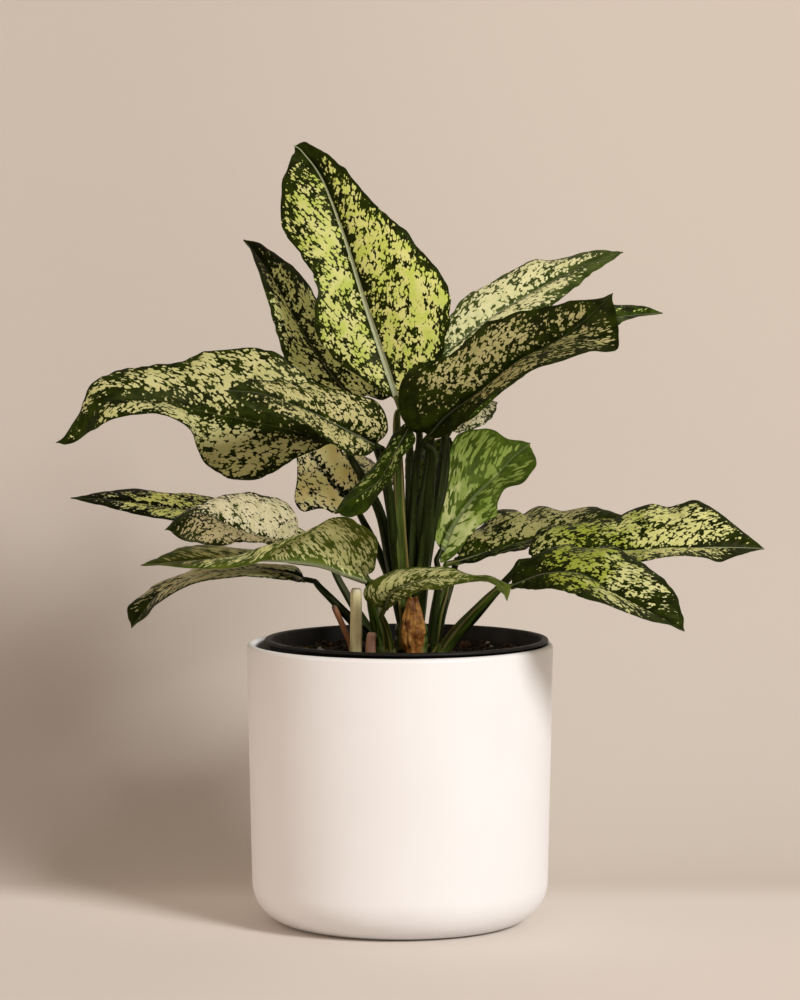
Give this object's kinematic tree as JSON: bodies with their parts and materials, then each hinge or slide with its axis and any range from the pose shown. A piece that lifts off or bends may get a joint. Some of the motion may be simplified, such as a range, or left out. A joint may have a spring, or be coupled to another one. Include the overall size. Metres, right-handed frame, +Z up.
{
  "type": "potted house plant",
  "caption": "Variegated Chinese evergreen in a black nursery pot, standing loose in a round white ceramic planter; a free-standing decorative house plant.",
  "frame": {"origin": "centre of the planter's flat underside, on the surface that the planter stands on", "axes": "+Z up along the planter's axis; the side seen in the picture faces -Y and its right is +X"},
  "size_m": [0.4353, 0.2926, 0.4825],
  "materials": {
    "white_ceramic": "satin",
    "black_plastic": "matte",
    "potting_soil": "matte",
    "green_stalk": "satin",
    "young_leaf": "satin",
    "mature_leaf": "satin",
    "dry_sheath": "satin",
    "cut_stalk_pale": "matte",
    "cut_stalk_brown": "matte",
    "cut_nub_pink": "matte"
  },
  "bodies": {
    "root": {"planter": "white_ceramic", "nursery_pot": "black_plastic", "soil": "potting_soil", "shoot_main": "green_stalk", "shoot_left": "green_stalk", "shoot_right": "green_stalk", "shoot_right_back": "green_stalk", "shoot_front": "green_stalk", "leaf_top": "young_leaf", "leaf_top_left": "mature_leaf", "leaf_big_left": "mature_leaf", "leaf_mid_left": "mature_leaf", "leaf_back_right_pale": "mature_leaf", "leaf_front_right": "mature_leaf", "leaf_back_right_tip": "mature_leaf", "leaf_right_drooping": "mature_leaf", "leaf_right_mid": "mature_leaf", "leaf_right_big": "mature_leaf", "leaf_right_front": "mature_leaf", "leaf_front_small": "mature_leaf", "leaf_left_thin": "mature_leaf", "leaf_left_speckled": "mature_leaf", "leaf_left_under": "mature_leaf", "leaf_left_low": "mature_leaf", "leaf_back_left_grey": "mature_leaf", "leaf_twisted": "mature_leaf", "leaf_back_lobe": "mature_leaf", "leaf_back_centre": "mature_leaf", "leaf_rear_top": "mature_leaf", "leaf_rear_left": "mature_leaf", "leaf_rear_right": "mature_leaf", "dry_sheath": "dry_sheath", "cut_stub_pale": "cut_stalk_pale", "cut_stub_brown": "cut_stalk_brown", "cut_nub_pink": "cut_nub_pink"}
  },
  "joints": []
}
